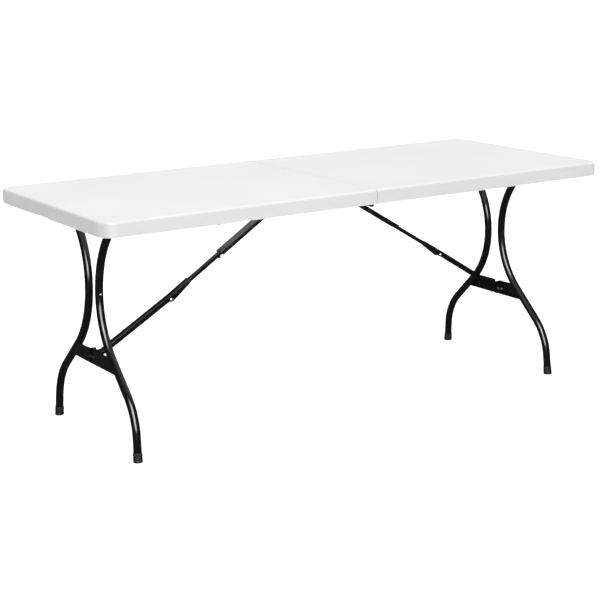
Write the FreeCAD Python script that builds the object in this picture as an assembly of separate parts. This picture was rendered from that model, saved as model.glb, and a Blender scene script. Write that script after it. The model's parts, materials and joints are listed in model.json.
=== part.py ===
import FreeCAD, Part
import math
import os

# Fold-in-half trestle table. Millimetres, +Z up, origin on the floor under the middle of the top.
# +X runs along the length, +Y to the rear. Each piece of a side is drawn on the right and mirrored.

V = FreeCAD.Vector

# ---- driving dimensions: the top ----
LENGTH = 1830.0
WIDTH = 760.0
HEIGHT = 740.0
RIM_HEIGHT = 45.0
DECK = 16.0
SKIN = 2.5
SEAM_GAP = 2.0
CORNER_R = 48.0
TOP_EDGE_R = 8.0
BOTTOM_EDGE_R = 2.5
SEAM_EDGE_R = 2.0
RIM_WIDTH = 26.0
SEAM_RIM = 24.0
RECESS_CORNER_R = 22.0
NOTCH_DEPTH = 3.0
FINGER_NOTCH_HALF = 16.0
END_NOTCH_LENGTH = 120.0
SEAM_CORNER_R = 6.0

# ---- driving dimensions: the legs ----
TUBE_R = 12.5
TUBE_WALL = 1.2
PIVOT_X = 770.2
PIVOT_Z = 709.5
FOOT_X = 791.0
NECK_Y = 35.4
NECK_DROP = 245.2
UPPER_ARC_R = 272.0
LOWER_ARC_R = 260.0
LEAN_DEG = 47.4
STRAIGHT_RUN = 130.6
ANKLE_R = 182.0
FOOT_LEAN_DEG = 5.0
CAP_R = 14.25
CAP_HEIGHT = 30.0
CAP_FLOOR = 4.0
PIVOT_TUBE_R = 11.0
PIVOT_TUBE_HALF = 327.0
JOURNAL_R = 6.0
RUNNING_GAP = 0.05

# ---- driving dimensions: cross plate and brace lug, in the leg's own plane ----
PLATE_TOP = 428.0
PLATE_BOTTOM = 474.0
PLATE_OUT = 12.0
PLATE_T = 1.5
FLANGE_IN = 1.0
NOTCH_HALF = 12.6
NOTCH_BOTTOM = 471.3
LUG_DROP = 457.0
LUG_IN = -10.0
LUG_FOOT_W = 18.0
LUG_RIVET_Y = 26.0
STUD_GAP = 0.4
STUD_HEAD_R = 4.0
HEAD_T = 1.6
NECK_RIVET_DROP = 252.0
NECK_RIVET_R = 4.0
NECK_RIVET_H = 2.3

# ---- driving dimensions: the brace, drawn folded flat along +X from its anchor pin ----
ANCHOR_X = 35.0
ANCHOR_Z = 716.0
KNEE_DROP = 5.5
KNEE_SAG = {"right": -2.0, "left": 9.0}
KNEE_PLAY = 0.12
ANCHOR_WEB_HALF = 42.0
EAR_GAP = 1.2
EAR_T = 1.6
BAR_W = 18.0
BAR_H = 10.4
BAR_EDGE_R = 1.8
BAR_START = 200.0
BAR_END = 570.0
CHANNEL_W = 37.0
CHANNEL_H = 10.8
CHANNEL_END = 361.0
CHANNEL_T = 1.2
BRACKET_START = 494.0
BRACKET_W = 27.0
LINK_W = 23.4
LINK_H = 15.0
LINK_START = 575.0
LINK_END_R = 5.8
LINK_NOSE = 36.0
LINK_TAPER = 60.0
BEND_R = 2.0
SHEET_T = 1.5
PIN_R = 3.0
RIVET_R = 2.4
RIVET_HEAD_R = 3.6
RIVET_HEAD_H = 1.4
KNEE_HEAD_R = 5.0
KNEE_HEAD_H = 2.0

# ---- driving dimensions: rails, hinges, handle ----
RAIL_IN = 330.0
RAIL_W = 20.0
RAIL_H = 25.0
RAIL_T = 1.5
RAIL_EDGE_R = 2.5
RAIL_START = 10.0
RAIL_END = 815.0
SCREW_X = (120.0, 440.0, 700.0)
SCREW_R = 2.4
SCREW_HOLE_R = 2.5
SCREW_HEAD_R = 5.0
SCREW_HEAD_H = 2.5
SCREW_REACH = 6.0
HINGE_Z = 690.0
KNUCKLE_R = 8.0
HINGE_Y = (328.0, 352.0)
LEAF_END = 64.0
LEAF_T = 3.0
KNUCKLE_GAP = 0.2
HINGE_SLOT = (327.0, 354.0)
PIN_HEAD_R = 5.0
HANDLE_X = -457.0
HANDLE_HALF = 52.0
HANDLE_REACH = 95.0
HANDLE_WIRE_R = 4.0
HANDLE_BEND_R = 10.0
HANDLE_TAIL = 14.0
HANDLE_Y = -320.0
HANDLE_Z = 690.0
GRIP_R = 9.0
GRIP_MARGIN = 12.0
CLIP_HALF = 10.0
CLIP_GAP = 0.4
CLIP_T = 2.0

# ---- worked out ----
HALF = LENGTH / 2
RIM_Z = HEIGHT - RIM_HEIGHT
DECK_Z = HEIGHT - DECK
TILT_DEG = math.degrees(math.atan((FOOT_X - PIVOT_X) / PIVOT_Z))
TILT = math.radians(TILT_DEG)
LEG_LENGTH = PIVOT_Z / math.cos(TILT)
RAIL_Z = DECK_Z - RAIL_H
RAIL_MID = RAIL_IN + RAIL_W / 2
LINE_Z = ANCHOR_Z
KNEE_Z = LINE_Z - KNEE_DROP
CHANNEL_TOP = LINE_Z + BAR_H / 2 + CHANNEL_T

# The brace is all but straight with the leg open and folded back on itself with the leg flat, so
# the anchor, the knee and the lug fix its slope and both its lengths.
LUG_OUT = PIVOT_Z - ANCHOR_Z + 2 * KNEE_DROP
LUG_X = PIVOT_X + LUG_OUT * math.cos(TILT) + LUG_DROP * math.sin(TILT)
LUG_Z = PIVOT_Z + LUG_OUT * math.sin(TILT) - LUG_DROP * math.cos(TILT)
BRACE_SLOPE_DEG = math.degrees(math.atan2(ANCHOR_Z - LUG_Z, LUG_X - ANCHOR_X))
LINK_END = math.hypot(ANCHOR_Z - LUG_Z, LUG_X - ANCHOR_X) + KNEE_PLAY
FOLDED_END = PIVOT_X - LUG_DROP - ANCHOR_X
KNEE_STATION = (LINK_END + FOLDED_END) / 2
Y_AXIS = V(0, 1, 0)


def box(x0, x1, y0, y1, z0, z1):
    return Part.makeBox(x1 - x0, y1 - y0, z1 - z0, V(x0, y0, z0))


def rod(radius, start, end):
    return Part.makeCylinder(radius, (end - start).Length, start, end - start)


def cross_rod(radius, x, z, y0, y1):
    return rod(radius, V(x, y0, z), V(x, y1, z))


def prism_xz(points, y0, y1):
    """A plate between y0 and y1 with that outline in the XZ plane."""
    corners = [V(x, y0, z) for x, z in points]
    face = Part.Face(Part.makePolygon(corners + corners[:1]))
    return face.extrude(V(0, y1 - y0, 0))


def both_sides(shape):
    """The shape and its mirror image across the Y=0 plane, as one compound of solids."""
    return Part.makeCompound(shape.Solids + shape.mirror(V(0, 0, 0), Y_AXIS).Solids)


def rounded_rectangle(x0, x1, y_half, z, seam_r, end_r):
    """A face whose two corners at x0 have radius seam_r and whose two at x1 have radius end_r."""
    s = 1 - math.sqrt(0.5)
    edges = []
    corners = ((x1, -1, end_r, 1), (x1, 1, end_r, 1), (x0, 1, seam_r, -1), (x0, -1, seam_r, -1))
    runs = []
    for x, side, r, out in corners:
        along_x = V(x - out * r, side * y_half, z)
        along_y = V(x, side * (y_half - r), z)
        middle = V(x - out * r * s, side * (y_half - r * s), z)
        first, last = (along_x, along_y) if side * out < 0 else (along_y, along_x)
        runs.append((first, middle, last, r))
    for i, (first, middle, last, r) in enumerate(runs):
        if r > 0:
            edges.append(Part.Arc(first, middle, last).toShape())
        edges.append(Part.LineSegment(last, runs[(i + 1) % 4][0]).toShape())
    return Part.Face(Part.Wire(edges))


def edges_at(shape, test):
    """The edges whose two ends and middle all pass the test."""
    found = []
    for edge in shape.Edges:
        middle = edge.valueAt((edge.FirstParameter + edge.LastParameter) / 2)
        if all(test(p) for p in [v.Point for v in edge.Vertexes] + [middle]):
            found.append(edge)
    return found


def near(a, b):
    return abs(a - b) < 1e-4


# ---------------------------------------------------------------- top halves
def finger_notch(grow):
    """The finger notch under the front rim beside the carry handle."""
    half = FINGER_NOTCH_HALF + grow
    return box(HANDLE_X - half, HANDLE_X + half, -WIDTH / 2 - 1, -WIDTH / 2 + RIM_WIDTH + 1,
               RIM_Z - 1, RIM_Z + NOTCH_DEPTH + grow)


def end_notch(grow):
    """The long shallow relief under the left end rim."""
    return box(-HALF - 1, -HALF + RIM_WIDTH + 1, -grow, END_NOTCH_LENGTH + grow,
               RIM_Z - 1, RIM_Z + NOTCH_DEPTH + grow)


def hinge_slots(grow):
    """The two openings in the seam rim that the rails and hinges pass through."""
    slot = box(-1, SEAM_RIM + SEAM_GAP / 2 + 1, HINGE_SLOT[0] - grow, HINGE_SLOT[1] + grow,
               RIM_Z - 1, DECK_Z + grow)
    return both_sides(slot)


def recess(grow):
    x0 = SEAM_GAP / 2 + SEAM_RIM - grow
    face = rounded_rectangle(x0, HALF - RIM_WIDTH + grow, WIDTH / 2 - RIM_WIDTH + grow, RIM_Z - 1,
                             SEAM_CORNER_R, RECESS_CORNER_R + grow)
    return face.extrude(V(0, 0, DECK_Z - RIM_Z + 1 + grow))


def top_half():
    """The right half's outside and the hollow in it, before the recess is taken out."""
    x0 = SEAM_GAP / 2

    def crosses_seam(edge):
        return all(near(v.Point.x, x0) for v in edge.Vertexes)

    outer = rounded_rectangle(x0, HALF, WIDTH / 2, RIM_Z, 0, CORNER_R).extrude(V(0, 0, RIM_HEIGHT))
    top_edges = [e for e in edges_at(outer, lambda p: near(p.z, HEIGHT)) if not crosses_seam(e)]
    outer = outer.makeFillet(TOP_EDGE_R, top_edges)
    low_edges = [e for e in edges_at(outer, lambda p: near(p.z, RIM_Z)) if not crosses_seam(e)]
    outer = outer.makeFillet(BOTTOM_EDGE_R, low_edges)
    seam_edges = edges_at(outer, lambda p: near(p.x, x0) and p.z > RIM_Z + BOTTOM_EDGE_R - 1e-4)
    outer = outer.makeFillet(SEAM_EDGE_R, seam_edges)

    x1 = x0 + SKIN
    inner = rounded_rectangle(x1, HALF - SKIN, WIDTH / 2 - SKIN, RIM_Z + SKIN, 2, CORNER_R - SKIN)
    inner = inner.extrude(V(0, 0, RIM_HEIGHT - 2 * SKIN))
    inner_top = edges_at(inner, lambda p: near(p.z, HEIGHT - SKIN))
    inner = inner.makeFillet(TOP_EDGE_R - SKIN, [e for e in inner_top if e.BoundBox.XMax > x1 + 10])
    return outer, inner


def screw_holes():
    holes = [rod(SCREW_HOLE_R, V(x, RAIL_MID, RIM_Z), V(x, RAIL_MID, DECK_Z + SKIN + 1)) for x in SCREW_X]
    return both_sides(Part.makeCompound(holes))


def finished_top(left):
    outer, inner = top_half()
    cuts = [recess(0), hinge_slots(0)]
    fills = [recess(SKIN), hinge_slots(SKIN)]
    if left:
        mirrored = [s.mirror(V(0, 0, 0), V(1, 0, 0)) for s in [outer, inner] + cuts + fills]
        outer, inner = mirrored[0], mirrored[1]
        cuts = mirrored[2:4] + [finger_notch(0), end_notch(0)]
        fills = mirrored[4:6] + [finger_notch(SKIN), end_notch(SKIN)]
    holes = screw_holes()
    if left:
        holes = holes.mirror(V(0, 0, 0), V(1, 0, 0))
    for fill in fills:
        inner = inner.cut(fill)
    for cut in cuts:
        outer = outer.cut(cut)
    return outer.cut(inner).cut(holes)


# ---------------------------------------------------------------- rails and screws
def rail():
    """A rectangular steel tube under the deck, from the seam to past the leg pivot."""
    y0, y1 = RAIL_IN, RAIL_IN + RAIL_W
    tube = box(RAIL_START, RAIL_END, y0, y1, RAIL_Z, DECK_Z)
    long_edges = [e for e in tube.Edges if near(e.Length, RAIL_END - RAIL_START)]
    tube = tube.makeFillet(RAIL_EDGE_R, long_edges)
    bore = box(RAIL_START - 1, RAIL_END + 1, y0 + RAIL_T, y1 - RAIL_T, RAIL_Z + RAIL_T, DECK_Z - RAIL_T)
    tube = tube.cut(bore)
    tube = tube.cut(cross_rod(JOURNAL_R + RUNNING_GAP, PIVOT_X, PIVOT_Z, y0 - 1, y0 + RAIL_T + 1))
    for x in SCREW_X:
        tube = tube.cut(rod(SCREW_HOLE_R, V(x, RAIL_MID, RAIL_Z - 1), V(x, RAIL_MID, DECK_Z + 1)))
    return tube


def rail_screws():
    """Pan-head screws up through the rail into the deck, each with a cross recess."""
    screws = []
    face = RAIL_Z - SCREW_HEAD_H
    for x in SCREW_X:
        head = rod(SCREW_HEAD_R, V(x, RAIL_MID, face), V(x, RAIL_MID, RAIL_Z))
        head = head.makeFillet(1.2, edges_at(head, lambda p: near(p.z, face)))
        shank = rod(SCREW_R, V(x, RAIL_MID, RAIL_Z), V(x, RAIL_MID, DECK_Z + SCREW_REACH))
        slot = box(x - 3, x + 3, RAIL_MID - 0.6, RAIL_MID + 0.6, face - 1, face + 1.2)
        cross = slot.fuse(box(x - 0.6, x + 0.6, RAIL_MID - 3, RAIL_MID + 3, face - 1, face + 1.2))
        screws.append(head.fuse(shank).cut(cross))
    return both_sides(Part.makeCompound(screws))


# ---------------------------------------------------------------- centre hinges
def hinge_leaf(knuckles):
    """A leaf under the rail's end, on the right, with knuckles at those spans of Y."""
    y0, y1 = HINGE_Y
    leaf = box(KNUCKLE_R + 1.5, LEAF_END, y0, y1, RAIL_Z - LEAF_T, RAIL_Z)
    end_corners = [e for e in leaf.Edges if near(e.Length, LEAF_T) and near(e.BoundBox.XMax, LEAF_END)]
    shape = leaf.makeFillet(5.0, end_corners)
    x_web = KNUCKLE_R + 4
    for k0, k1 in knuckles:
        barrel = cross_rod(KNUCKLE_R, 0, HINGE_Z, k0, k1)
        web = prism_xz([(0, HINGE_Z + KNUCKLE_R), (x_web, RAIL_Z), (x_web, RAIL_Z - LEAF_T),
                        (KNUCKLE_R, HINGE_Z), (0, HINGE_Z)], k0, k1)
        shape = shape.fuse(barrel).fuse(web)
    shape = shape.cut(cross_rod(PIN_R + RUNNING_GAP, 0, HINGE_Z, y0 - 1, y1 + 1))
    return shape.removeSplitter()


def hinge_pin():
    """The pin through one centre hinge, headed at both ends."""
    y0, y1 = HINGE_Y
    pin = cross_rod(PIN_R, 0, HINGE_Z, y0 - 1, y1 + 1)
    pin = pin.fuse(cross_rod(PIN_HEAD_R, 0, HINGE_Z, y0 - HEAD_T, y0))
    return pin.fuse(cross_rod(PIN_HEAD_R, 0, HINGE_Z, y1, y1 + HEAD_T)).removeSplitter()


# ---------------------------------------------------------------- legs, drawn hanging from the pivot
# In the leg's own frame Z is minus the distance down the leg and X points outward.
def tube_path():
    """Centre line of the rear tube, from the pivot tube to the foot, and its end direction."""
    lean = math.radians(LEAN_DEG)
    foot = math.radians(FOOT_LEAN_DEG)
    start = math.asin(NECK_DROP / UPPER_ARC_R)
    upper_y = NECK_Y + UPPER_ARC_R
    lower_y = NECK_Y + LOWER_ARC_R

    def upper(angle):
        return V(0, upper_y - UPPER_ARC_R * math.cos(angle), -NECK_DROP + UPPER_ARC_R * math.sin(angle))

    def lower(angle):
        return V(0, lower_y - LOWER_ARC_R * math.cos(angle), -NECK_DROP - LOWER_ARC_R * math.sin(angle))

    bend = lower(lean)
    ankle = bend + V(0, math.sin(lean), -math.cos(lean)) * STRAIGHT_RUN

    def turning(angle):
        return ankle + V(0, math.cos(angle) - math.cos(lean), math.sin(angle) - math.sin(lean)) * ANKLE_R

    last_bend = turning(foot)
    end_drop = LEG_LENGTH - CAP_FLOOR
    run = (end_drop + last_bend.z) / math.cos(foot)
    direction = V(0, math.sin(foot), -math.cos(foot))
    end = last_bend + direction * run
    edges = [
        Part.Arc(upper(start), upper(start / 2), upper(0)).toShape(),
        Part.Arc(lower(0), lower(lean / 2), bend).toShape(),
        Part.LineSegment(bend, ankle).toShape(),
        Part.Arc(ankle, turning((lean + foot) / 2), last_bend).toShape(),
        Part.LineSegment(last_bend, end).toShape(),
    ]
    return Part.Wire(edges), end, direction


def swept(path, radius, start_dir):
    start = path.Edges[0].valueAt(path.Edges[0].FirstParameter)
    ring = Part.Wire(Part.makeCircle(radius, start, start_dir))
    return path.makePipeShell([ring], True, False)


def leg_tube():
    """The rear bent tube of the right leg, coped to the pivot tube."""
    path, _, _ = tube_path()
    first = path.Edges[0]
    tangent = first.tangentAt(first.FirstParameter)
    tube = swept(path, TUBE_R, tangent).cut(swept(path, TUBE_R - TUBE_WALL, tangent))
    return tube.cut(cross_rod(PIVOT_TUBE_R, 0, 0, 0, PIVOT_TUBE_HALF)).Solids


def largest(solids):
    return max(solids, key=lambda s: s.Volume)


def placed_leg(shape):
    """Puts a shape from the leg's own frame at its place under the right half."""
    moved = shape.copy()
    moved.rotate(V(0, 0, 0), Y_AXIS, -TILT_DEG)
    moved.translate(V(PIVOT_X, 0, PIVOT_Z))
    return moved


def foot_cap():
    """The rubber cap on the rear foot, cut flat on the floor."""
    _, end, direction = tube_path()
    bottom = end + direction * (CAP_FLOOR + 1.5)
    top = end - direction * (CAP_HEIGHT - CAP_FLOOR)
    cap = rod(CAP_R, bottom, top)
    rim_edges = [e for e in cap.Edges if len(e.Vertexes) == 1]
    cap = cap.makeFillet(1.4, rim_edges)
    cap = cap.cut(rod(TUBE_R, end, top - direction * 5))
    cap = placed_leg(cap)
    return cap.common(box(0, 2 * HALF, -WIDTH, WIDTH, 0, HEIGHT))


def pivot_tube():
    outer = cross_rod(PIVOT_TUBE_R, 0, 0, -PIVOT_TUBE_HALF, PIVOT_TUBE_HALF)
    return outer.cut(cross_rod(PIVOT_TUBE_R - SHEET_T, 0, 0, -PIVOT_TUBE_HALF, PIVOT_TUBE_HALF))


def pivot_plugs():
    """The stepped plugs in the pivot tube's ends, whose journals turn in the rails."""
    plug = cross_rod(PIVOT_TUBE_R - SHEET_T, 0, 0, PIVOT_TUBE_HALF - 18, PIVOT_TUBE_HALF)
    plug = plug.fuse(cross_rod(PIVOT_TUBE_R, 0, 0, PIVOT_TUBE_HALF, RAIL_IN - 0.5))
    plug = plug.fuse(cross_rod(JOURNAL_R, 0, 0, RAIL_IN - 0.5, RAIL_IN + 8))
    return both_sides(plug.removeSplitter())


def half_gap(drop):
    """Half the distance between the two tubes' centre lines, that far down the leg."""
    lean = math.radians(LEAN_DEG)
    bend_drop = NECK_DROP + LOWER_ARC_R * math.sin(lean)
    if drop <= bend_drop:
        return NECK_Y + LOWER_ARC_R - math.sqrt(LOWER_ARC_R ** 2 - (drop - NECK_DROP) ** 2)
    return NECK_Y + LOWER_ARC_R * (1 - math.cos(lean)) + (drop - bend_drop) * math.tan(lean)


def whole_tubes():
    """The two bent tubes of a leg as solid rods, to trim other pieces against."""
    path, _, _ = tube_path()
    first = path.Edges[0]
    return both_sides(swept(path, TUBE_R, first.tangentAt(first.FirstParameter)))


def cross_plate():
    """The steel angle welded between the two tubes, notched from above for the brace's end."""
    top_y, bottom_y = half_gap(PLATE_TOP), half_gap(PLATE_BOTTOM)
    outline = [V(0, -top_y, -PLATE_TOP), V(0, top_y, -PLATE_TOP), V(0, bottom_y, -PLATE_BOTTOM),
               V(0, -bottom_y, -PLATE_BOTTOM)]
    block = Part.Face(Part.makePolygon(outline + outline[:1])).extrude(V(PLATE_OUT - FLANGE_IN, 0, 0))
    block.translate(V(FLANGE_IN, 0, 0))
    inside = box(-5, PLATE_OUT - PLATE_T, -bottom_y, bottom_y, -PLATE_BOTTOM + PLATE_T, -PLATE_TOP + 1)
    plate = block.cut(inside)
    plate = plate.cut(box(-5, PLATE_OUT + 5, -NOTCH_HALF, NOTCH_HALF, -NOTCH_BOTTOM, -PLATE_TOP + 1))
    return largest(plate.cut(whole_tubes()).Solids)


def lug_plates():
    """Two cheeks beside the notch that hold the brace's end studs, each with a foot on the angle."""
    y0, y1 = NOTCH_HALF, NOTCH_HALF + SHEET_T
    x1 = PLATE_OUT - PLATE_T
    z0, z1 = -PLATE_BOTTOM + PLATE_T, -PLATE_TOP
    cheek = box(LUG_IN, x1, y0, y1, z0, z1)
    foot = box(x1 - SHEET_T, x1, y0, y1 + LUG_FOOT_W, z0, z1)
    cheek = cheek.fuse(foot).removeSplitter()
    return both_sides(cheek.cut(cross_rod(PIN_R, LUG_OUT, -LUG_DROP, 0, y1 + 1)))


def lug_studs():
    head = NOTCH_HALF + SHEET_T
    stud = cross_rod(PIN_R, LUG_OUT, -LUG_DROP, LINK_W / 2 + STUD_GAP, head)
    stud = stud.fuse(cross_rod(STUD_HEAD_R, LUG_OUT, -LUG_DROP, head, head + HEAD_T))
    return both_sides(stud.removeSplitter())


def lug_rivets():
    """A domed rivet head on each lug foot."""
    base = V(PLATE_OUT - PLATE_T - SHEET_T, LUG_RIVET_Y, -LUG_DROP)
    return both_sides(rivet(base, V(-1, 0, 0), RIVET_HEAD_R, RIVET_HEAD_H))


def neck_rivets():
    """A domed rivet head on the outer flank of each tube, just below the neck."""
    base = V(0, half_gap(NECK_RIVET_DROP) + TUBE_R - NECK_RIVET_H / 3, -NECK_RIVET_DROP)
    head = rivet(base, V(0, 1, 0), NECK_RIVET_R, NECK_RIVET_H)
    return both_sides(head).cut(whole_tubes())


def rivet(centre, direction, radius, height):
    """A domed rivet head standing on a surface."""
    ball_r = (radius ** 2 + height ** 2) / (2 * height)
    ball = Part.makeSphere(ball_r, centre - direction * (ball_r - height))
    return ball.common(Part.makeCylinder(radius, height, centre, direction))


# ---------------------------------------------------------------- braces, drawn folded flat
def anchor_bracket():
    """The bracket under the deck by the seam, with two ears for the brace's upper pin."""
    x0 = SEAM_GAP / 2 + SEAM_RIM
    y_ear = CHANNEL_W / 2 + EAR_GAP
    half = ANCHOR_WEB_HALF
    web = box(x0, x0 + SHEET_T, -half, half, RIM_Z + 5, DECK_Z)
    ear = prism_xz([(x0 + SHEET_T, DECK_Z), (ANCHOR_X + 12, DECK_Z), (ANCHOR_X + 8, ANCHOR_Z - 8),
                    (ANCHOR_X - 2, ANCHOR_Z - 10), (x0 + SHEET_T, ANCHOR_Z - 10)], y_ear, y_ear + EAR_T)
    ears = both_sides(ear)
    foot = both_sides(box(x0 + SHEET_T, ANCHOR_X + 12, y_ear + EAR_T, half, DECK_Z - SHEET_T, DECK_Z))
    shape = web.fuse(ears.Solids + foot.Solids)
    return shape.cut(cross_rod(PIN_R, ANCHOR_X, ANCHOR_Z, -30, 30)).removeSplitter()


def anchor_pin():
    end = CHANNEL_W / 2 + EAR_GAP + EAR_T
    pin = cross_rod(PIN_R, ANCHOR_X, ANCHOR_Z, -end, end)
    for y in (-end - HEAD_T, end):
        pin = pin.fuse(cross_rod(PIN_HEAD_R - 0.5, ANCHOR_X, ANCHOR_Z, y, y + HEAD_T))
    return pin.removeSplitter()


def upper_placed(shape, side):
    """Turns a shape of the brace about its anchor pin from folded flat to its open slope."""
    tip = math.degrees(math.asin(KNEE_SAG[side] / KNEE_STATION))
    moved = shape.copy()
    moved.rotate(V(ANCHOR_X, 0, ANCHOR_Z), Y_AXIS, BRACE_SLOPE_DEG + tip)
    return moved


def lower_placed(shape, side):
    """Turns a shape of the lower link about the knee pin to meet the lug, then with the upper link."""
    tip = math.asin(KNEE_SAG[side] / KNEE_STATION)
    rise = math.asin(KNEE_SAG[side] / (LINK_END - KNEE_STATION))
    moved = shape.copy()
    moved.rotate(V(station(KNEE_STATION), 0, KNEE_Z), Y_AXIS, -math.degrees(tip + rise))
    return upper_placed(moved, side)


def station(distance):
    return ANCHOR_X + distance


def wide_channel():
    """The wide upper channel, open below, pinned to the anchor."""
    top, bottom = CHANNEL_TOP, CHANNEL_TOP - CHANNEL_H
    end = station(CHANNEL_END)
    half = CHANNEL_W / 2
    run = box(station(0), end, -half, half, bottom, top)
    ridge = [e for e in edges_at(run, lambda p: near(p.z, top)) if near(e.Length, CHANNEL_END)]
    run = run.makeFillet(BEND_R, ridge)
    nose = cross_rod(top - ANCHOR_Z, ANCHOR_X, ANCHOR_Z, -half, half)
    body = run.fuse(nose).removeSplitter()
    body = body.cut(box(0, end + 1, -half + CHANNEL_T, half - CHANNEL_T, bottom - 5, top - CHANNEL_T))
    body = body.cut(box(0, station(0), -half + CHANNEL_T, half - CHANNEL_T, bottom - 5, top + 1))
    return body.cut(cross_rod(PIN_R + RUNNING_GAP, ANCHOR_X, ANCHOR_Z, -half - 1, half + 1))


def middle_bar():
    """The rectangular bar between the channel and the knee."""
    x0, x1 = station(BAR_START), station(BAR_END)
    z0, z1 = LINE_Z - BAR_H / 2, LINE_Z + BAR_H / 2
    bar = box(x0, x1, -BAR_W / 2, BAR_W / 2, z0, z1)
    bar = bar.makeFillet(BAR_EDGE_R, [e for e in bar.Edges if near(e.Length, x1 - x0)])
    inner = BAR_W / 2 - CHANNEL_T
    return bar.cut(box(x0 - 1, x1 + 1, -inner, inner, z0 + CHANNEL_T, z1 - CHANNEL_T))


def knee_bracket():
    """The bracket over the bar's end, whose cheeks widen below the bar around the knee pin."""
    half = BRACKET_W / 2
    top = LINE_Z + BAR_H / 2 + SHEET_T
    x0, xk = station(BRACKET_START), station(KNEE_STATION)
    outline = [(x0, top), (xk + 3, top), (xk + 8, KNEE_Z + 6), (xk + 8, KNEE_Z), (xk + 5, KNEE_Z - 6),
               (xk - 4, KNEE_Z - 7), (xk - 18, KNEE_Z - 6), (x0 + 18, LINE_Z - BAR_H / 2 - 0.5),
               (x0, LINE_Z - 2)]
    body = prism_xz(outline, -half, half)
    ridge = [e for e in edges_at(body, lambda p: near(p.z, top)) if not near(e.Length, BRACKET_W)]
    body = body.makeFillet(BEND_R, ridge)
    body = body.cut(box(x0 - 1, xk + 20, -half + SHEET_T, half - SHEET_T, KNEE_Z - 20, top - SHEET_T))
    body = body.cut(box(station(BAR_END), xk + 20, -half + SHEET_T, half - SHEET_T, KNEE_Z - 20, top + 1))
    return body.cut(cross_rod(PIN_R, xk, KNEE_Z, -half - 1, half + 1))


def knee_pin():
    half = BRACKET_W / 2
    pin = cross_rod(PIN_R, station(KNEE_STATION), KNEE_Z, -half, half)
    for side in (-1, 1):
        centre = V(station(KNEE_STATION), side * half, KNEE_Z)
        pin = pin.fuse(rivet(centre, V(0, side, 0), KNEE_HEAD_R, KNEE_HEAD_H))
    return pin.removeSplitter()


def cross_rivet(x, z, half):
    """A rivet across the brace with a domed head on each side."""
    body = cross_rod(RIVET_R, x, z, -half, half)
    for side in (-1, 1):
        body = body.fuse(rivet(V(x, side * half, z), V(0, side, 0), RIVET_HEAD_R, RIVET_HEAD_H))
    return body.removeSplitter()


CHANNEL_RIVETS = [(s, CHANNEL_W / 2) for s in (230.0, 318.0)]
BRACKET_RIVETS = [(s, BRACKET_W / 2) for s in (500.0, 556.0)]
BRACE_RIVETS = CHANNEL_RIVETS + BRACKET_RIVETS


def brace_rivets():
    """Four rivets: two hold the bar in the wide channel, two hold the knee bracket on the bar."""
    return Part.makeCompound([cross_rivet(station(s), LINE_Z, half) for s, half in BRACE_RIVETS])


def with_rivet_holes(shape):
    for s, _ in BRACE_RIVETS:
        shape = shape.cut(cross_rod(RIVET_R, station(s), LINE_Z, -CHANNEL_W, CHANNEL_W))
    return shape


def channel_catch():
    """The small hooked tab that hangs under the bar at the wide channel's lower end."""
    x, z = station(CHANNEL_END), LINE_Z - BAR_H / 2
    outline = [(x - 12, z), (x + 10, z), (x + 12, z - 7), (x + 6, z - 8), (x + 5, z - EAR_T),
               (x - 12, z - EAR_T)]
    return prism_xz(outline, -4, 4)


def lower_link():
    """The channel from the knee to the leg, open below when the brace is straight."""
    half = LINK_W / 2
    inner = half - SHEET_T
    top, bottom = LINE_Z + LINK_H / 2, LINE_Z - LINK_H / 2
    x0, xk, x1 = station(LINK_START), station(KNEE_STATION), station(LINK_END)
    taper, nose = x1 - LINK_TAPER, x1 - LINK_NOSE
    low, high = LINE_Z - LINK_END_R, LINE_Z + LINK_END_R
    outline = [(x0, top), (taper, top), (nose, high), (x1, high), (x1, low), (nose, low), (taper, bottom),
               (xk + 9, bottom), (xk, KNEE_Z - 6.5), (x0, KNEE_Z - 2)]
    body = prism_xz(outline, -half, half)
    ridge = [e for e in edges_at(body, lambda p: p.z > high - 1e-3) if not near(e.Length, LINK_W)]
    body = body.makeFillet(BEND_R, ridge).fuse(cross_rod(LINK_END_R, x1, LINE_Z, -half, half))
    body = body.cut(box(x0 - 1, taper, -inner, inner, bottom - 20, top - SHEET_T))
    body = body.cut(box(taper, x1 + 20, -inner, inner, bottom - 20, high - SHEET_T))
    body = body.cut(cross_rod(PIN_R + RUNNING_GAP, xk, KNEE_Z, -half - 1, half + 1))
    return body.cut(cross_rod(PIN_R, x1, LINE_Z, -half - 1, half + 1)).removeSplitter()


def link_bush():
    """The spacer riveted between the lower link's two ears at the leg."""
    return cross_rod(PIN_R, station(LINK_END), LINE_Z, -LINK_W / 2, LINK_W / 2)


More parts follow.
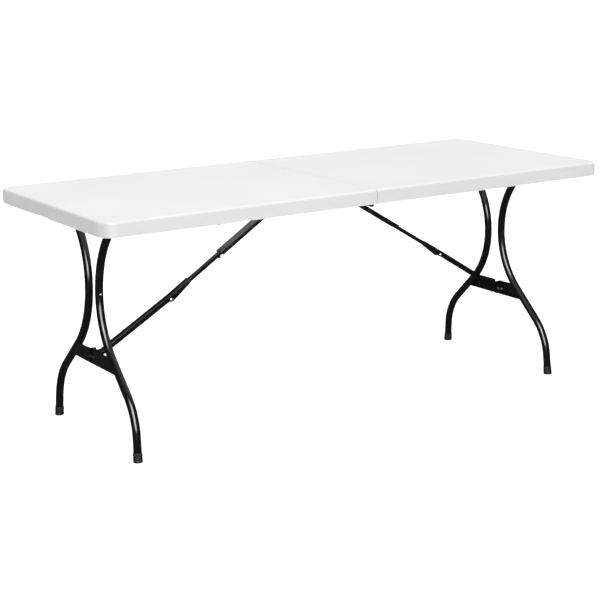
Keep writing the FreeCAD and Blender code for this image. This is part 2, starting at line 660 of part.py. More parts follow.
# ---------------------------------------------------------------- carry handle
def handle_bail():
    """The wire bail, stowed flat under the deck with its grip inward."""
    r, tail = HANDLE_BEND_R, HANDLE_TAIL
    z, y0, y1 = HANDLE_Z, HANDLE_Y, HANDLE_Y + HANDLE_REACH
    x0, x1 = HANDLE_X - HANDLE_HALF, HANDLE_X + HANDLE_HALF
    s = r * (1 - math.sqrt(0.5))
    edges = [
        Part.LineSegment(V(x0 - tail, y0, z), V(x0 - r, y0, z)).toShape(),
        Part.Arc(V(x0 - r, y0, z), V(x0 - s, y0 + s, z), V(x0, y0 + r, z)).toShape(),
        Part.LineSegment(V(x0, y0 + r, z), V(x0, y1 - r, z)).toShape(),
        Part.Arc(V(x0, y1 - r, z), V(x0 + s, y1 - s, z), V(x0 + r, y1, z)).toShape(),
        Part.LineSegment(V(x0 + r, y1, z), V(x1 - r, y1, z)).toShape(),
        Part.Arc(V(x1 - r, y1, z), V(x1 - s, y1 - s, z), V(x1, y1 - r, z)).toShape(),
        Part.LineSegment(V(x1, y1 - r, z), V(x1, y0 + r, z)).toShape(),
        Part.Arc(V(x1, y0 + r, z), V(x1 + s, y0 + s, z), V(x1 + r, y0, z)).toShape(),
        Part.LineSegment(V(x1 + r, y0, z), V(x1 + tail, y0, z)).toShape(),
    ]
    return swept(Part.Wire(edges), HANDLE_WIRE_R, V(1, 0, 0))


def handle_grip():
    y = HANDLE_Y + HANDLE_REACH
    half = HANDLE_HALF - GRIP_MARGIN
    grip = rod(GRIP_R, V(HANDLE_X - half, y, HANDLE_Z), V(HANDLE_X + half, y, HANDLE_Z))
    grip = grip.makeFillet(3.0, [e for e in grip.Edges if len(e.Vertexes) == 1])
    x0, x1 = HANDLE_X - HANDLE_HALF, HANDLE_X + HANDLE_HALF
    return grip.cut(rod(HANDLE_WIRE_R, V(x0, y, HANDLE_Z), V(x1, y, HANDLE_Z)))


def handle_brackets():
    """Two blocks on the front left rail that the bail's ends turn in."""
    blocks = []
    for side in (-1, 1):
        x = HANDLE_X + side * (HANDLE_HALF + 16)
        block = box(x - 4, x + 4, -RAIL_IN, HANDLE_Y + 8, HANDLE_Z - 7, DECK_Z - 8)
        block = block.makeFillet(3.0, [e for e in block.Edges
                                       if near(e.Length, 8) and near(e.BoundBox.YMin, HANDLE_Y + 8)])
        blocks.append(block.cut(rod(HANDLE_WIRE_R + RUNNING_GAP, V(x - 9, HANDLE_Y, HANDLE_Z),
                                    V(x + 9, HANDLE_Y, HANDLE_Z))))
    return Part.makeCompound(blocks)


def handle_clip():
    """The spring clip under the deck whose two fingers reach down beside the stowed grip."""
    y = HANDLE_Y + HANDLE_REACH
    x0, x1 = HANDLE_X - CLIP_HALF, HANDLE_X + CLIP_HALF
    inner = GRIP_R + CLIP_GAP
    outer = inner + CLIP_T
    clip = box(x0, x1, y - outer, y + outer, DECK_Z - CLIP_T, DECK_Z)
    for y0 in (y - outer, y + inner):
        clip = clip.fuse(box(x0, x1, y0, y0 + CLIP_T, HANDLE_Z + 1, DECK_Z - CLIP_T))
    return clip.removeSplitter()


# ---------------------------------------------------------------- write the files
def save(name, shape):
    solids = shape.Solids
    out = solids[0] if len(solids) == 1 else Part.makeCompound(solids)
    if not out.isValid() or not solids:
        print("not valid:", name)
    print(name, len(solids), round(out.Volume / 1000, 2))
    out.exportStep("parts/" + name + ".step")


def save_sides(pattern, shape):
    """Writes the right piece and its mirror image on the left."""
    save(pattern.format("right"), shape)
    save(pattern.format("left"), shape.mirror(V(0, 0, 0), V(1, 0, 0)))


def save_brace(side, piece, shape):
    """Writes a piece of a brace that is drawn at its right-hand place."""
    save("brace_" + side + "_" + piece, shape if side == "right" else shape.mirror(V(0, 0, 0), V(1, 0, 0)))


def save_corners(pattern, rear_right):
    """Writes a piece that stands at all four corners of the table."""
    save_sides(pattern.format("{}", "rear"), rear_right)
    save_sides(pattern.format("{}", "front"), rear_right.mirror(V(0, 0, 0), Y_AXIS))


def main():
    os.makedirs("parts", exist_ok=True)
    save("top_left", finished_top(True))
    save("top_right", finished_top(False))
    save_corners("rail_{}_{}", rail())
    save_sides("rail_screws_{}", rail_screws())

    y0, y1 = HINGE_Y
    third = (y1 - y0) / 3
    middle = [(y0 + third + KNUCKLE_GAP, y1 - third - KNUCKLE_GAP)]
    outer = [(y0, y0 + third - KNUCKLE_GAP), (y1 - third + KNUCKLE_GAP, y1)]
    right_leaf = hinge_leaf(middle)
    left_leaf = hinge_leaf(outer).mirror(V(0, 0, 0), V(1, 0, 0))
    save("hinge_leaf_right_rear", right_leaf)
    save("hinge_leaf_right_front", right_leaf.mirror(V(0, 0, 0), Y_AXIS))
    save("hinge_leaf_left_rear", left_leaf)
    save("hinge_leaf_left_front", left_leaf.mirror(V(0, 0, 0), Y_AXIS))
    save("hinge_pins", both_sides(hinge_pin()))

    save_corners("leg_{}_tube_{}", placed_leg(largest(leg_tube())))
    save_corners("foot_cap_{}_{}", foot_cap())
    save_sides("leg_{}_pivot_tube", placed_leg(pivot_tube()))
    save_sides("leg_{}_pivot_plugs", placed_leg(pivot_plugs()))
    save_sides("leg_{}_cross_plate", placed_leg(cross_plate()))
    save_sides("leg_{}_lug_plates", placed_leg(lug_plates()))
    save_sides("leg_{}_lug_studs", placed_leg(lug_studs()))
    save_sides("leg_{}_lug_rivets", placed_leg(lug_rivets()))
    save_sides("leg_{}_neck_rivets", placed_leg(neck_rivets()))

    save_sides("brace_anchor_{}", anchor_bracket())
    save_sides("brace_anchor_pin_{}", anchor_pin())
    for side in ("right", "left"):
        save_brace(side, "wide_channel", upper_placed(with_rivet_holes(wide_channel()), side))
        save_brace(side, "middle_bar", upper_placed(with_rivet_holes(middle_bar()), side))
        save_brace(side, "knee_bracket", upper_placed(with_rivet_holes(knee_bracket()), side))
        save_brace(side, "knee_pin", upper_placed(knee_pin(), side))
        save_brace(side, "rivets", upper_placed(brace_rivets(), side))
        save_brace(side, "lower_link", lower_placed(lower_link(), side))
        save_brace(side, "end_bush", lower_placed(link_bush(), side))
    save_brace("left", "catch", upper_placed(channel_catch(), "left"))

    save("handle_bail", handle_bail())
    save("handle_grip", handle_grip())
    save("handle_brackets", handle_brackets())
    save("handle_clip", handle_clip())


main()
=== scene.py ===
"""Looks for a fold-in-half trestle table: white moulded top, black wishbone legs, knee braces."""
import json
import math

import bmesh
import bpy
from mathutils import Matrix, Vector
from mathutils.bvhtree import BVHTree


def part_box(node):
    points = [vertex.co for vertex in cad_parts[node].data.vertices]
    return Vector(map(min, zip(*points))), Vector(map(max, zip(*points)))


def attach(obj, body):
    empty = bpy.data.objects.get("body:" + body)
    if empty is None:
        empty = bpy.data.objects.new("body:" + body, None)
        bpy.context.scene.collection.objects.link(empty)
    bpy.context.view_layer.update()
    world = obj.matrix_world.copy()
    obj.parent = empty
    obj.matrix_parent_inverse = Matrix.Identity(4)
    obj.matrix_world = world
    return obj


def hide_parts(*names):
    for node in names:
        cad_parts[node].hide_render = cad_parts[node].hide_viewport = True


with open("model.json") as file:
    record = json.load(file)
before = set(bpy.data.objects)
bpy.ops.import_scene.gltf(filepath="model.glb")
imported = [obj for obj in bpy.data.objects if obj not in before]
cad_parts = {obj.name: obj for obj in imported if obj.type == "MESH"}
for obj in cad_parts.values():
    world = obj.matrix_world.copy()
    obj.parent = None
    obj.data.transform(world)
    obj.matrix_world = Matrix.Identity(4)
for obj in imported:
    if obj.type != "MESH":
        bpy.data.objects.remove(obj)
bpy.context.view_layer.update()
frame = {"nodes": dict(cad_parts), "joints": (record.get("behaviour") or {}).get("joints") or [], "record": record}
NODES = frame["nodes"]

# ---- sizes that the frame does not name, in metres ----
MM = 0.001
TUBE_R = 12.5 * MM
NECK_Y = 35.4 * MM
NECK_DROP = 245.2 * MM
UPPER_ARC_R = 272.0 * MM
LOWER_ARC_R = 260.0 * MM
LEAN = math.radians(47.4)
STRAIGHT_RUN = 130.6 * MM
ANKLE_R = 182.0 * MM
FOOT_LEAN = math.radians(5.0)
PLATE_TOP = 428.0 * MM
PLATE_BOTTOM = 474.0 * MM
PLATE_OUT = 12.0 * MM
PIVOT_TUBE_R = 11.0 * MM
PANEL_EDGE = 3 * MM
SEAM_INSET = 24 * MM
RIM_INSET = 26 * MM
HOLLOW_Y = 0.36
DIMPLE_PITCH = 38.0 * MM
DIMPLE_SIDES = 16
DIMPLE_RINGS = ((9.0, 0.0), (8.3, 0.35), (7.8, 1.1), (5.6, 7.6), (5.0, 8.5), (4.0, 8.9))
BOOT_OUTLINE = ((0.2, -3.0), (8.0, -3.0), (12.6, -2.6), (13.9, -1.4), (14.25, 0.6), (14.25, 5.0),
                (13.7, 5.6), (13.7, 6.6), (14.15, 7.2), (14.1, 10.4), (13.6, 11.0), (13.6, 12.0),
                (14.05, 12.6), (13.9, 25.4), (13.8, 26.6), (13.2, 27.3), (12.4, 27.4))
BOOT_SOLE = 3.2 * MM
WELD_RIPPLE = 2.1 * MM
WELD_END = 3 * MM
PLATE_WELD_R = 1.7 * MM
PIVOT_WELD_R = 1.8 * MM
SHEET_EDGE_R = 0.35 * MM
SHEET_PIECES = ("channel", "bracket", "link", "plate", "anchor", "leaf", "clip", "catch", "lug")
VIEW_TESTS = 40
FLOOR_HALF = 400.0
WORLD_STRENGTH = 0.06
CAMERA_PLACE = (-2.6936, -4.1706, 1.5247)
CAMERA_YAW, CAMERA_PITCH, CAMERA_ROLL = 0.5662, 0.2378, -0.0153
CAMERA_LENS = 93.0
CAMERA_REACH = 1000.0
WALL_SIDES = 64
WALL_RADIUS = 60.0
WALL_FOOT = -1.0
WALL_HEIGHT = 60.0

# ---- places that the frame gives ----
TOP_LOW, TOP_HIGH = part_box("top_right")
DECK_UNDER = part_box("rail_right_rear")[1].z
JOINTS = {j["name"]: j for j in frame["joints"]}
PIVOT = Vector(JOINTS["leg_fold_right"]["pos_m"])
LEG_TILT = math.radians(JOINTS["leg_fold_right"]["range_deg"][1] - 90)
LEG_LENGTH = PIVOT.z / math.cos(LEG_TILT)
SIDES = {"right": 1, "left": -1}
DEPTHS = {"rear": 1, "front": -1}


# ---------------------------------------------------------------- small helpers
def new_object(name, verts, faces, smooth=True):
    mesh = bpy.data.meshes.new(name)
    mesh.from_pydata([tuple(v) for v in verts], [], faces)
    mesh.validate()
    mesh.update()
    for polygon in mesh.polygons:
        polygon.use_smooth = smooth
    obj = bpy.data.objects.new(name, mesh)
    bpy.context.scene.collection.objects.link(obj)
    return obj


def sharp_by_angle(obj, degrees=35):
    """Marks edges sharper than the angle, and keeps flat faces flat beside small rounds."""
    mesh = obj.data
    bm = bmesh.new()
    bm.from_mesh(mesh)
    for edge in bm.edges:
        edge.smooth = len(edge.link_faces) == 2 and edge.calc_face_angle(0) < math.radians(degrees)
    bm.to_mesh(mesh)
    bm.free()
    weighted = obj.modifiers.new("even_normals", "WEIGHTED_NORMAL")
    weighted.keep_sharp = True


def leg_matrix(side):
    """From the leg's own frame, hanging from its pivot with X outward, to its place."""
    place = Matrix.Translation(PIVOT) @ Matrix.Rotation(-LEG_TILT, 4, "Y")
    if SIDES[side] < 0:
        place = Matrix.Scale(-1, 4, Vector((1, 0, 0))) @ place
    return place


def put(obj, matrix):
    """Moves the vertices, and turns the faces back out if the matrix mirrors them."""
    obj.data.transform(matrix)
    if matrix.determinant() < 0:
        obj.data.flip_normals()
    return obj


def sweep(name, points, radii, rings=28):
    """A closed round tube through the points, each with its radius."""
    verts, faces = [], []
    count = len(points)
    side = None
    for i, p in enumerate(points):
        ahead = points[min(i + 1, count - 1)] - points[max(i - 1, 0)]
        ahead.normalize()
        if side is None:
            side = ahead.orthogonal().normalized()
        side = (side - ahead * side.dot(ahead)).normalized()
        up = ahead.cross(side)
        for k in range(rings):
            angle = 2 * math.pi * k / rings
            verts.append(p + (side * math.cos(angle) + up * math.sin(angle)) * radii[i])
    for i in range(count - 1):
        for k in range(rings):
            a, b = i * rings + k, i * rings + (k + 1) % rings
            faces.append((a, b, b + rings, a + rings))
    faces.append(tuple(reversed(range(rings))))
    faces.append(tuple(range((count - 1) * rings, count * rings)))
    return new_object(name, verts, faces)


def lathe(name, profile, rings=48):
    """A solid of revolution about Z from (radius, z) points; the ends close on the axis."""
    verts, faces = [], []
    for r, z in profile:
        for k in range(rings):
            angle = 2 * math.pi * k / rings
            verts.append(Vector((r * math.cos(angle), r * math.sin(angle), z)))
    for i in range(len(profile) - 1):
        for k in range(rings):
            a, b = i * rings + k, i * rings + (k + 1) % rings
            faces.append((a, b, b + rings, a + rings))
    faces.append(tuple(reversed(range(rings))))
    faces.append(tuple(range((len(profile) - 1) * rings, len(profile) * rings)))
    return new_object(name, verts, faces)


# ---------------------------------------------------------------- materials
class Nodes:
    """A short way to build a material's nodes."""

    def __init__(self, name):
        self.material = bpy.data.materials.new(name)
        self.material.use_nodes = True
        self.tree = self.material.node_tree
        self.shader = self.tree.nodes["Principled BSDF"]
        self.coords = self.tree.nodes.new("ShaderNodeTexCoord")

    def add(self, kind, **values):
        node = self.tree.nodes.new(kind)
        for key, value in values.items():
            setattr(node, key, value)
        return node

    def link(self, out, into):
        self.tree.links.new(out, into)

    def noise(self, scale, detail=3.0, roughness=0.5, stretch=None):
        node = self.add("ShaderNodeTexNoise")
        node.inputs["Scale"].default_value = scale
        node.inputs["Detail"].default_value = detail
        node.inputs["Roughness"].default_value = roughness
        source = self.coords.outputs["Object"]
        if stretch is not None:
            mapping = self.add("ShaderNodeMapping")
            mapping.inputs["Scale"].default_value = stretch
            self.link(source, mapping.inputs["Vector"])
            source = mapping.outputs["Vector"]
        self.link(source, node.inputs["Vector"])
        return node.outputs["Fac"]

    def cells(self, scale):
        node = self.add("ShaderNodeTexVoronoi", feature="SMOOTH_F1")
        node.inputs["Scale"].default_value = scale
        node.inputs["Smoothness"].default_value = 0.6
        self.link(self.coords.outputs["Object"], node.inputs["Vector"])
        return node.outputs["Distance"]

    def spread(self, value, low, high, start=0.3, end=0.7):
        node = self.add("ShaderNodeMapRange")
        node.inputs["From Min"].default_value = start
        node.inputs["From Max"].default_value = end
        node.inputs["To Min"].default_value = low
        node.inputs["To Max"].default_value = high
        self.link(value, node.inputs["Value"])
        return node.outputs["Result"]

    def ramp(self, value, dark, light, start=0.3, end=0.7):
        node = self.add("ShaderNodeValToRGB")
        node.color_ramp.elements[0].position = start
        node.color_ramp.elements[0].color = (*dark, 1)
        node.color_ramp.elements[1].position = end
        node.color_ramp.elements[1].color = (*light, 1)
        self.link(value, node.inputs["Fac"])
        return node.outputs["Color"]

    def bump(self, height, distance, strength=1.0, under=None):
        node = self.add("ShaderNodeBump")
        node.inputs["Distance"].default_value = distance
        node.inputs["Strength"].default_value = strength
        self.link(height, node.inputs["Height"])
        if under is not None:
            self.link(under, node.inputs["Normal"])
        return node.outputs["Normal"]

    def set(self, name, value):
        socket = self.shader.inputs[name]
        if isinstance(value, bpy.types.NodeSocket):
            self.link(value, socket)
        else:
            socket.default_value = value


def moulded_white():
    """White blow-moulded polyethylene: pebble grain on the top, a softer skin elsewhere."""
    n = Nodes("moulded_white")
    n.set("Base Color", n.ramp(n.noise(2.6, 4), (0.718, 0.718, 0.713), (0.750, 0.750, 0.745)))
    n.set("Roughness", n.spread(n.noise(420, 4), 0.36, 0.50))
    n.set("Specular IOR Level", 0.42)
    n.set("Subsurface Weight", 0.06)
    n.set("Subsurface Radius", (0.010, 0.009, 0.008))
    n.set("Subsurface Scale", 0.25)
    split = n.add("ShaderNodeSeparateXYZ")
    n.link(n.coords.outputs["Object"], split.inputs["Vector"])
    on_top = n.spread(split.outputs["Z"], 0.25, 1.0, TOP_HIGH.z - 0.0030, TOP_HIGH.z - 0.0004)
    grain = n.add("ShaderNodeMath", operation="MULTIPLY")
    n.link(n.cells(620), grain.inputs[0])
    n.link(on_top, grain.inputs[1])
    waves = n.bump(n.noise(7, 2), 0.0016, 0.35)
    fine = n.bump(n.noise(1500, 2), 0.00006, 0.6, waves)
    n.set("Normal", n.bump(grain.outputs["Value"], 0.00022, 0.75, fine))
    return n.material


def powder_coat():
    """Semi-gloss black powder coat with a fine orange peel."""
    n = Nodes("powder_coat")
    n.set("Base Color", n.ramp(n.noise(35, 4), (0.0035, 0.0035, 0.0038), (0.0060, 0.0060, 0.0063)))
    n.set("Roughness", n.spread(n.noise(240, 4), 0.15, 0.20))
    n.set("Specular IOR Level", 0.50)
    peel = n.bump(n.noise(620, 2), 0.00004, 0.30)
    n.set("Normal", n.bump(n.cells(1500), 0.00001, 0.30, peel))
    return n.material


def zinc_plate():
    """Bright zinc plate with a faint drawn grain."""
    n = Nodes("zinc_plate")
    n.set("Base Color", n.ramp(n.noise(260, 4), (0.60, 0.61, 0.64), (0.80, 0.80, 0.80)))
    n.set("Metallic", 1.0)
    n.set("Roughness", n.spread(n.noise(900, 3, stretch=(1, 0.15, 1)), 0.20, 0.38))
    n.set("Normal", n.bump(n.noise(1200, 2, stretch=(1, 0.1, 1)), 0.00004, 0.4))
    return n.material


def moulded_rubber():
    """Matt black rubber with a dusty bloom."""
    n = Nodes("moulded_rubber")
    n.set("Base Color", n.ramp(n.noise(90, 5), (0.003, 0.003, 0.003), (0.006, 0.006, 0.006)))
    n.set("Roughness", n.spread(n.noise(500, 4), 0.55, 0.75))
    n.set("Specular IOR Level", 0.35)
    n.set("Normal", n.bump(n.noise(1100, 3), 0.00008, 0.6))
    return n.material


def black_nylon():
    """Satin black nylon with a spark-eroded grain."""
    n = Nodes("black_nylon")
    n.set("Base Color", n.ramp(n.noise(60, 4), (0.012, 0.012, 0.013), (0.022, 0.022, 0.023)))
    n.set("Roughness", n.spread(n.noise(300, 4), 0.38, 0.55))
    n.set("Normal", n.bump(n.cells(1300), 0.00008, 0.7))
    return n.material


def studio_floor():
    """A plain pale floor."""
    n = Nodes("studio_floor")
    n.set("Base Color", n.ramp(n.noise(0.6, 3), (0.795, 0.795, 0.795), (0.815, 0.815, 0.815)))
    n.set("Roughness", 0.9)
    n.set("Specular IOR Level", 0.1)
    n.set("Emission Color", (1, 1, 1, 1))
    n.set("Emission Strength", 0.30)
    return n.material


WHITE = moulded_white()
BLACK = powder_coat()
ZINC = zinc_plate()
RUBBER = moulded_rubber()
NYLON = black_nylon()
FINISH = {"white_plastic": WHITE, "black_steel": BLACK, "zinc_steel": ZINC, "black_rubber": RUBBER,
          "black_plastic": NYLON}
SLOT_OF = {s["node"]: s["material_slot"] for s in frame["record"]["subparts"]}


def give(obj, slot_name):
    obj.data.materials.clear()
    obj.data.materials.append(FINISH[slot_name])
    return obj


def finish_piece(obj, slot_name, body, *replaced):
    """Gives a new piece its material and body, and hides the CAD nodes it stands in for."""
    give(obj, slot_name)
    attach(obj, body)
    if replaced:
        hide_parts(*replaced)
    return obj


# ---------------------------------------------------------------- CAD nodes that stay as they are
def dress_frame_nodes():
    """Every CAD node gets its material, and folded sheet steel gets softened edges."""
    for name, obj in NODES.items():
        give(obj, SLOT_OF[name])
        sheet = any(word in name for word in SHEET_PIECES)
        if sheet and "pin" not in name and "rivets" not in name:
            bevel = obj.modifiers.new("soft_edges", "BEVEL")
            bevel.width = SHEET_EDGE_R
            bevel.segments = 2
            bevel.limit_method = "ANGLE"
            bevel.angle_limit = math.radians(40)


# ---------------------------------------------------------------- moulded top halves
def faces_in_view(bm):
    """The faces from which a ray gets away from the shell: not those of the sealed hollow inside."""
    tree = BVHTree.FromBMesh(bm)
    directions = []
    for i in range(VIEW_TESTS):
        z = 1 - 2 * (i + 0.5) / VIEW_TESTS
        angle = i * math.pi * (3 - math.sqrt(5))
        r = math.sqrt(1 - z * z)
        directions.append(Vector((r * math.cos(angle), r * math.sin(angle), z)))
    seen = []
    for face in bm.faces:
        start = face.calc_center_median() + face.normal * 1e-5
        tries = [face.normal] + [d for d in directions if d.dot(face.normal) > 0.15]
        if any(tree.ray_cast(start, d)[0] is None for d in tries):
            seen.append(face)
    return set(seen)


def dimple(bm, cx, cy, px, py):
    """One rectangle of the skin with its dimple, from the border inward."""
    count = DIMPLE_SIDES
    round_trip = [2 * math.pi * (k + 0.5) / count for k in range(count)]
    loops = [[]]
    for angle in round_trip:
        c, s = math.cos(angle), math.sin(angle)
        reach = 1 / max(abs(c), abs(s))
        place = (cx + c * reach * px / 2, cy + s * reach * py / 2, DECK_UNDER)
        loops[0].append(bm.verts.new(place))
    for radius, rise in DIMPLE_RINGS:
        r, z = radius * MM, DECK_UNDER + rise * MM
        loops.append([bm.verts.new((cx + r * math.cos(a), cy + r * math.sin(a), z)) for a in round_trip])
    for a, b in zip(loops, loops[1:]):
        for k in range(count):
            bm.faces.new((a[k], a[(k + 1) % count], b[(k + 1) % count], b[k]))
    bm.faces.new(loops[-1])
    corners = [bm.verts.new((cx + sx * px / 2, cy + sy * py / 2, DECK_UNDER))
               for sx, sy in ((1, 1), (-1, 1), (-1, -1), (1, -1))]
    for q, corner in enumerate(corners):
        a = loops[0][(1 + 4 * q) % count]
        b = loops[0][(2 + 4 * q) % count]
        bm.faces.new((a, corner, b))


def dimpled_panel(bm, x0, x1, y_half):
    """The deck's underside: a flat skin with a grid of round tack-off dimples drawn up into it."""
    nx = round((x1 - x0) / DIMPLE_PITCH)
    ny = round(2 * y_half / DIMPLE_PITCH)
    px, py = (x1 - x0) / nx, 2 * y_half / ny
    for i in range(nx):
        for j in range(ny):
            dimple(bm, x0 + (i + 0.5) * px, -y_half + (j + 0.5) * py, px, py)


def underside_skin(low_x, high_x, side):
    """The dimpled skin as a mesh, its faces down and its edges tucked into the rim."""
    panel = bmesh.new()
    y_half = TOP_HIGH.y - RIM_INSET + PANEL_EDGE
    dimpled_panel(panel, low_x - PANEL_EDGE, high_x + PANEL_EDGE, y_half)
    bmesh.ops.remove_doubles(panel, verts=panel.verts, dist=1e-5)
    if SIDES[side] < 0:
        bmesh.ops.scale(panel, vec=(-1, 1, 1), verts=panel.verts)
    bmesh.ops.recalc_face_normals(panel, faces=panel.faces)
    if sum(f.normal.z * f.calc_area() for f in panel.faces) > 0:
        bmesh.ops.reverse_faces(panel, faces=panel.faces)
    skin = bpy.data.meshes.new("skin")
    panel.to_mesh(skin)
    panel.free()
    return skin


def top_moulding(side):
    """One half of the top: the CAD half's outside, with a dimpled skin under the deck."""
    node = "top_" + side
    bm = bmesh.new()
    bm.from_mesh(NODES[node].data)
    bmesh.ops.remove_doubles(bm, verts=bm.verts, dist=1e-6)
    bm.normal_update()
    kept = faces_in_view(bm)
    low_x, high_x = sorted((abs(TOP_LOW.x) + SEAM_INSET, TOP_HIGH.x - RIM_INSET))

    def under_deck(face):
        c = face.calc_center_median()
        flat = face.normal.z < -0.99 and abs(c.z - DECK_UNDER) < 1e-4
        inside = abs(c.y) < HOLLOW_Y and low_x < abs(c.x) < high_x
        return flat or (inside and c.z > DECK_UNDER + 1e-5 and abs(face.normal.z) < 0.9)

    drop = [f for f in bm.faces if f not in kept or under_deck(f)]
    bmesh.ops.delete(bm, geom=drop, context="FACES")
    skin = underside_skin(low_x, high_x, side)
    bm.from_mesh(skin)
    mesh = bpy.data.meshes.new("top_moulding_" + side)
    bm.to_mesh(mesh)
    bm.free()
    bpy.data.meshes.remove(skin)
    for polygon in mesh.polygons:
        polygon.use_smooth = True
    obj = bpy.data.objects.new("top_moulding_" + side, mesh)
    bpy.context.scene.collection.objects.link(obj)
    sharp_by_angle(obj, 40)
    finish_piece(obj, "white_plastic", side + "_half", node)


# ---------------------------------------------------------------- legs
def leg_route(steps=18):
    """Centre line of the rear tube in the leg's own frame, top to foot."""
    start = math.asin(NECK_DROP / UPPER_ARC_R)
    points = []
    for i in range(steps + 1):
        a = start * (1 - i / steps)
        points.append(Vector((0, NECK_Y + UPPER_ARC_R * (1 - math.cos(a)),
                              -NECK_DROP + UPPER_ARC_R * math.sin(a))))
    for i in range(1, steps + 1):
        a = LEAN * i / steps
        points.append(Vector((0, NECK_Y + LOWER_ARC_R * (1 - math.cos(a)),
                              -NECK_DROP - LOWER_ARC_R * math.sin(a))))
    ankle = points[-1] + Vector((0, math.sin(LEAN), -math.cos(LEAN))) * STRAIGHT_RUN
    for i in range(1, 5):
        points.append(points[2 * steps].lerp(ankle, i / 4))
    for i in range(1, steps + 1):
        a = LEAN + (FOOT_LEAN - LEAN) * i / steps
        turn = Vector((0, math.cos(a) - math.cos(LEAN), math.sin(a) - math.sin(LEAN)))
        points.append(ankle + turn * ANKLE_R)
    direction = Vector((0, math.sin(FOOT_LEAN), -math.cos(FOOT_LEAN)))
    run = (LEG_LENGTH - 4 * MM + points[-1].z) / math.cos(FOOT_LEAN)
    last = points[-1]
    for i in range(1, 4):
        points.append(last + direction * run * i / 3)
    return points, direction


ROUTE, FOOT_DIRECTION = leg_route()


def mirrored_y(points, sign):
    return [Vector((p.x, p.y * sign, p.z)) for p in points]


def leg_tubes(side):
    for depth, sign in DEPTHS.items():
        points = mirrored_y(ROUTE, sign)
        obj = sweep("leg_tube_" + side + "_" + depth, points, [TUBE_R] * len(points), 40)
        put(obj, leg_matrix(side))
        sharp_by_angle(obj)
        finish_piece(obj, "black_steel", "leg_" + side, "leg_" + side + "_tube_" + depth)


def foot_caps(side):
    """Ribbed rubber caps, flat where they stand on the floor."""
    for depth, sign in DEPTHS.items():
        outline = [(x * MM, z * MM) for x, z in BOOT_OUTLINE]
        obj = lathe("foot_boot_" + side + "_" + depth, outline)
        direction = Vector((0, FOOT_DIRECTION.y * sign, FOOT_DIRECTION.z))
        turn = (-direction).to_track_quat("Z", "Y").to_matrix().to_4x4()
        end = mirrored_y(ROUTE, sign)[-1] + direction * BOOT_SOLE
        put(obj, leg_matrix(side) @ Matrix.Translation(end) @ turn)
        for v in obj.data.vertices:
            v.co.z = max(v.co.z, 0.0)
        sharp_by_angle(obj, 50)
        finish_piece(obj, "black_rubber", "leg_" + side, "foot_cap_" + side + "_" + depth)


def half_gap(drop):
    """Half the distance between the two tubes' centre lines, that far down the leg."""
    bend = NECK_DROP + LOWER_ARC_R * math.sin(LEAN)
    if drop <= bend:
        return NECK_Y + LOWER_ARC_R - math.sqrt(LOWER_ARC_R ** 2 - (drop - NECK_DROP) ** 2)
    return NECK_Y + LOWER_ARC_R * (1 - math.cos(LEAN)) + (drop - bend) * math.tan(LEAN)


def weld_bead(name, points, radius):
    """A rippled weld bead along the points."""
    fine, radii = [], []
    total = sum((b - a).length for a, b in zip(points, points[1:]))
    for a, b in zip(points, points[1:]):
        for i in range(6):
            fine.append(a.lerp(b, i / 6))
    fine.append(points[-1])
    walked = 0.0
    for i, p in enumerate(fine):
        if i:
            walked += (p - fine[i - 1]).length
        ripple = 1 + 0.16 * abs(math.sin(math.pi * walked / WELD_RIPPLE))
        ends = min(1.0, 0.35 + walked / WELD_END, 0.35 + (total - walked) / WELD_END)
        radii.append(radius * ripple * ends)
    return sweep(name, fine, radii, 10)


def leg_welds(side):
    """Beads where the cross plate and the pivot tube meet the two bent tubes."""
    offset = math.sqrt(TUBE_R ** 2 - (PLATE_OUT - 0.8 * MM) ** 2)
    for depth, sign in DEPTHS.items():
        points = []
        for i in range(9):
            drop = PLATE_TOP + (PLATE_BOTTOM - PLATE_TOP) * i / 8
            y = half_gap(drop) - offset / math.cos(LEAN)
            points.append(Vector((PLATE_OUT - 0.3 * MM, y * sign, -drop)))
        bead = weld_bead("plate_weld_" + side + "_" + depth, points, PLATE_WELD_R)
        finish_piece(put(bead, leg_matrix(side)), "black_steel", "leg_" + side)
        top = ROUTE[0]
        ring = []
        for i in range(25):
            a = 2 * math.pi * i / 24
            x, across = TUBE_R * math.cos(a), TUBE_R * math.sin(a)
            z = -math.sqrt(max(PIVOT_TUBE_R ** 2 - min(abs(x), PIVOT_TUBE_R * 0.98) ** 2, 0))
            slope = (ROUTE[1] - ROUTE[0]).normalized()
            y = top.y + slope.y / slope.z * z + across / abs(slope.z)
            ring.append(Vector((x * 0.98, y * sign, z - 0.4 * MM)))
        bead = weld_bead("pivot_weld_" + side + "_" + depth, ring, PIVOT_WELD_R)
        finish_piece(put(bead, leg_matrix(side)), "black_steel", "leg_" + side)


# ---------------------------------------------------------------- build it
dress_frame_nodes()
for side_name in SIDES:
    top_moulding(side_name)
    leg_tubes(side_name)
    foot_caps(side_name)
    leg_welds(side_name)


# ---------------------------------------------------------------- floor, light and camera
def stage_floor():
    r = FLOOR_HALF
    corners = [(-r, -r, 0), (r, -r, 0), (r, r, 0), (-r, r, 0)]
    floor = new_object("floor", corners, [(0, 1, 2, 3)], smooth=False)
    floor.data.materials.append(studio_floor())
    floor.visible_glossy = False


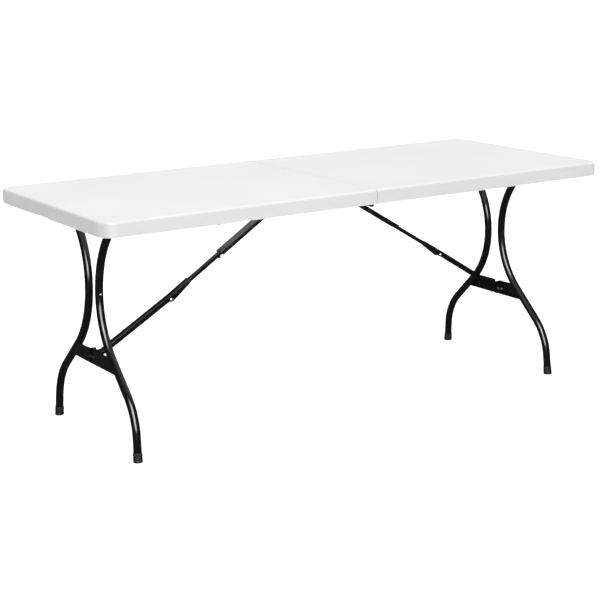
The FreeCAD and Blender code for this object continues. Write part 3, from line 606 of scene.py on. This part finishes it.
def stage_wall():
    """A round white wall far off, so that low views end in white: it lights and shades nothing."""
    n = Nodes("studio_wall")
    n.set("Base Color", (0, 0, 0, 1))
    n.set("Specular IOR Level", 0.0)
    n.set("Emission Color", (1, 1, 1, 1))
    n.set("Emission Strength", n.spread(n.noise(0.02, 1), 1.00, 1.04))
    around = [2 * math.pi * k / WALL_SIDES for k in range(WALL_SIDES)]
    verts = [(WALL_RADIUS * math.cos(a), WALL_RADIUS * math.sin(a), z)
             for z in (WALL_FOOT, WALL_HEIGHT) for a in around]
    faces = []
    for k in range(WALL_SIDES):
        after = (k + 1) % WALL_SIDES
        faces.append((k, after, WALL_SIDES + after, WALL_SIDES + k))
    wall = new_object("wall", verts, faces)
    wall.data.materials.append(n.material)
    wall.visible_diffuse = wall.visible_glossy = wall.visible_shadow = False


def area_light(name, place, target, width, height, watts, colour=(1, 1, 1)):
    """A rectangular soft box that the camera doesn't see."""
    data = bpy.data.lights.new(name, "AREA")
    data.shape = "RECTANGLE"
    data.size, data.size_y = width, height
    data.energy = watts
    data.color = colour
    obj = bpy.data.objects.new(name, data)
    obj.location = place
    obj.rotation_euler = (Vector(target) - Vector(place)).to_track_quat("-Z", "Y").to_euler()
    obj.visible_camera = False
    bpy.context.scene.collection.objects.link(obj)
    return obj


def soft_sun(name, from_direction, strength, angle, shadow):
    data = bpy.data.lights.new(name, "SUN")
    data.energy = strength * math.pi
    data.angle = math.radians(angle)
    data.use_shadow = shadow
    obj = bpy.data.objects.new(name, data)
    obj.visible_glossy = False
    obj.rotation_euler = Vector(from_direction).to_track_quat("Z", "Y").to_euler()
    bpy.context.scene.collection.objects.link(obj)


def studio_light():
    world = bpy.data.worlds.new("studio")
    world.use_nodes = True
    background = world.node_tree.nodes["Background"]
    background.inputs["Color"].default_value = (1, 1, 1, 1)
    background.inputs["Strength"].default_value = WORLD_STRENGTH
    bpy.context.scene.world = world
    soft_sun("fill", (0.16, -0.08, 0.98), 1.16, 60, False)
    soft_sun("overhead", (0.10, -0.30, 0.95), 0.08, 60, True)
    area_light("key", (-1.9, -3.4, 2.7), (0, 0, 0.45), 0.22, 0.22, 20, (1.0, 0.985, 0.965))
    backdrop = area_light("backdrop", (5.2, 8.2, 2.9), (0, 0, 0.7), 11.0, 3.0, 380)
    backdrop.visible_glossy = False
    sheen = area_light("sheen", (-2.2, -3.4, 2.4), (0, 0, 0.4), 3.6, 3.8, 560)
    sheen.visible_diffuse = False


def camera():
    """The photograph's camera, as fitted to the top's corners and the feet."""
    data = bpy.data.cameras.new("camera")
    data.sensor_width = 36.0
    data.lens = CAMERA_LENS
    data.clip_end = CAMERA_REACH
    obj = bpy.data.objects.new("camera", data)
    yaw, pitch, roll = CAMERA_YAW, CAMERA_PITCH, CAMERA_ROLL
    level_part = math.cos(pitch)
    forward = Vector((math.sin(yaw) * level_part, math.cos(yaw) * level_part, -math.sin(pitch)))
    level = Vector((math.cos(yaw), -math.sin(yaw), 0))
    up = level.cross(forward)
    right = level * math.cos(roll) + up * math.sin(roll)
    tall = up * math.cos(roll) - level * math.sin(roll)
    turn = Matrix((right, tall, -forward)).transposed().to_4x4()
    obj.matrix_world = Matrix.Translation(CAMERA_PLACE) @ turn
    bpy.context.scene.collection.objects.link(obj)
    bpy.context.scene.camera = obj


stage_floor()
stage_wall()
studio_light()
camera()
bpy.context.scene.view_settings.view_transform = "Standard"
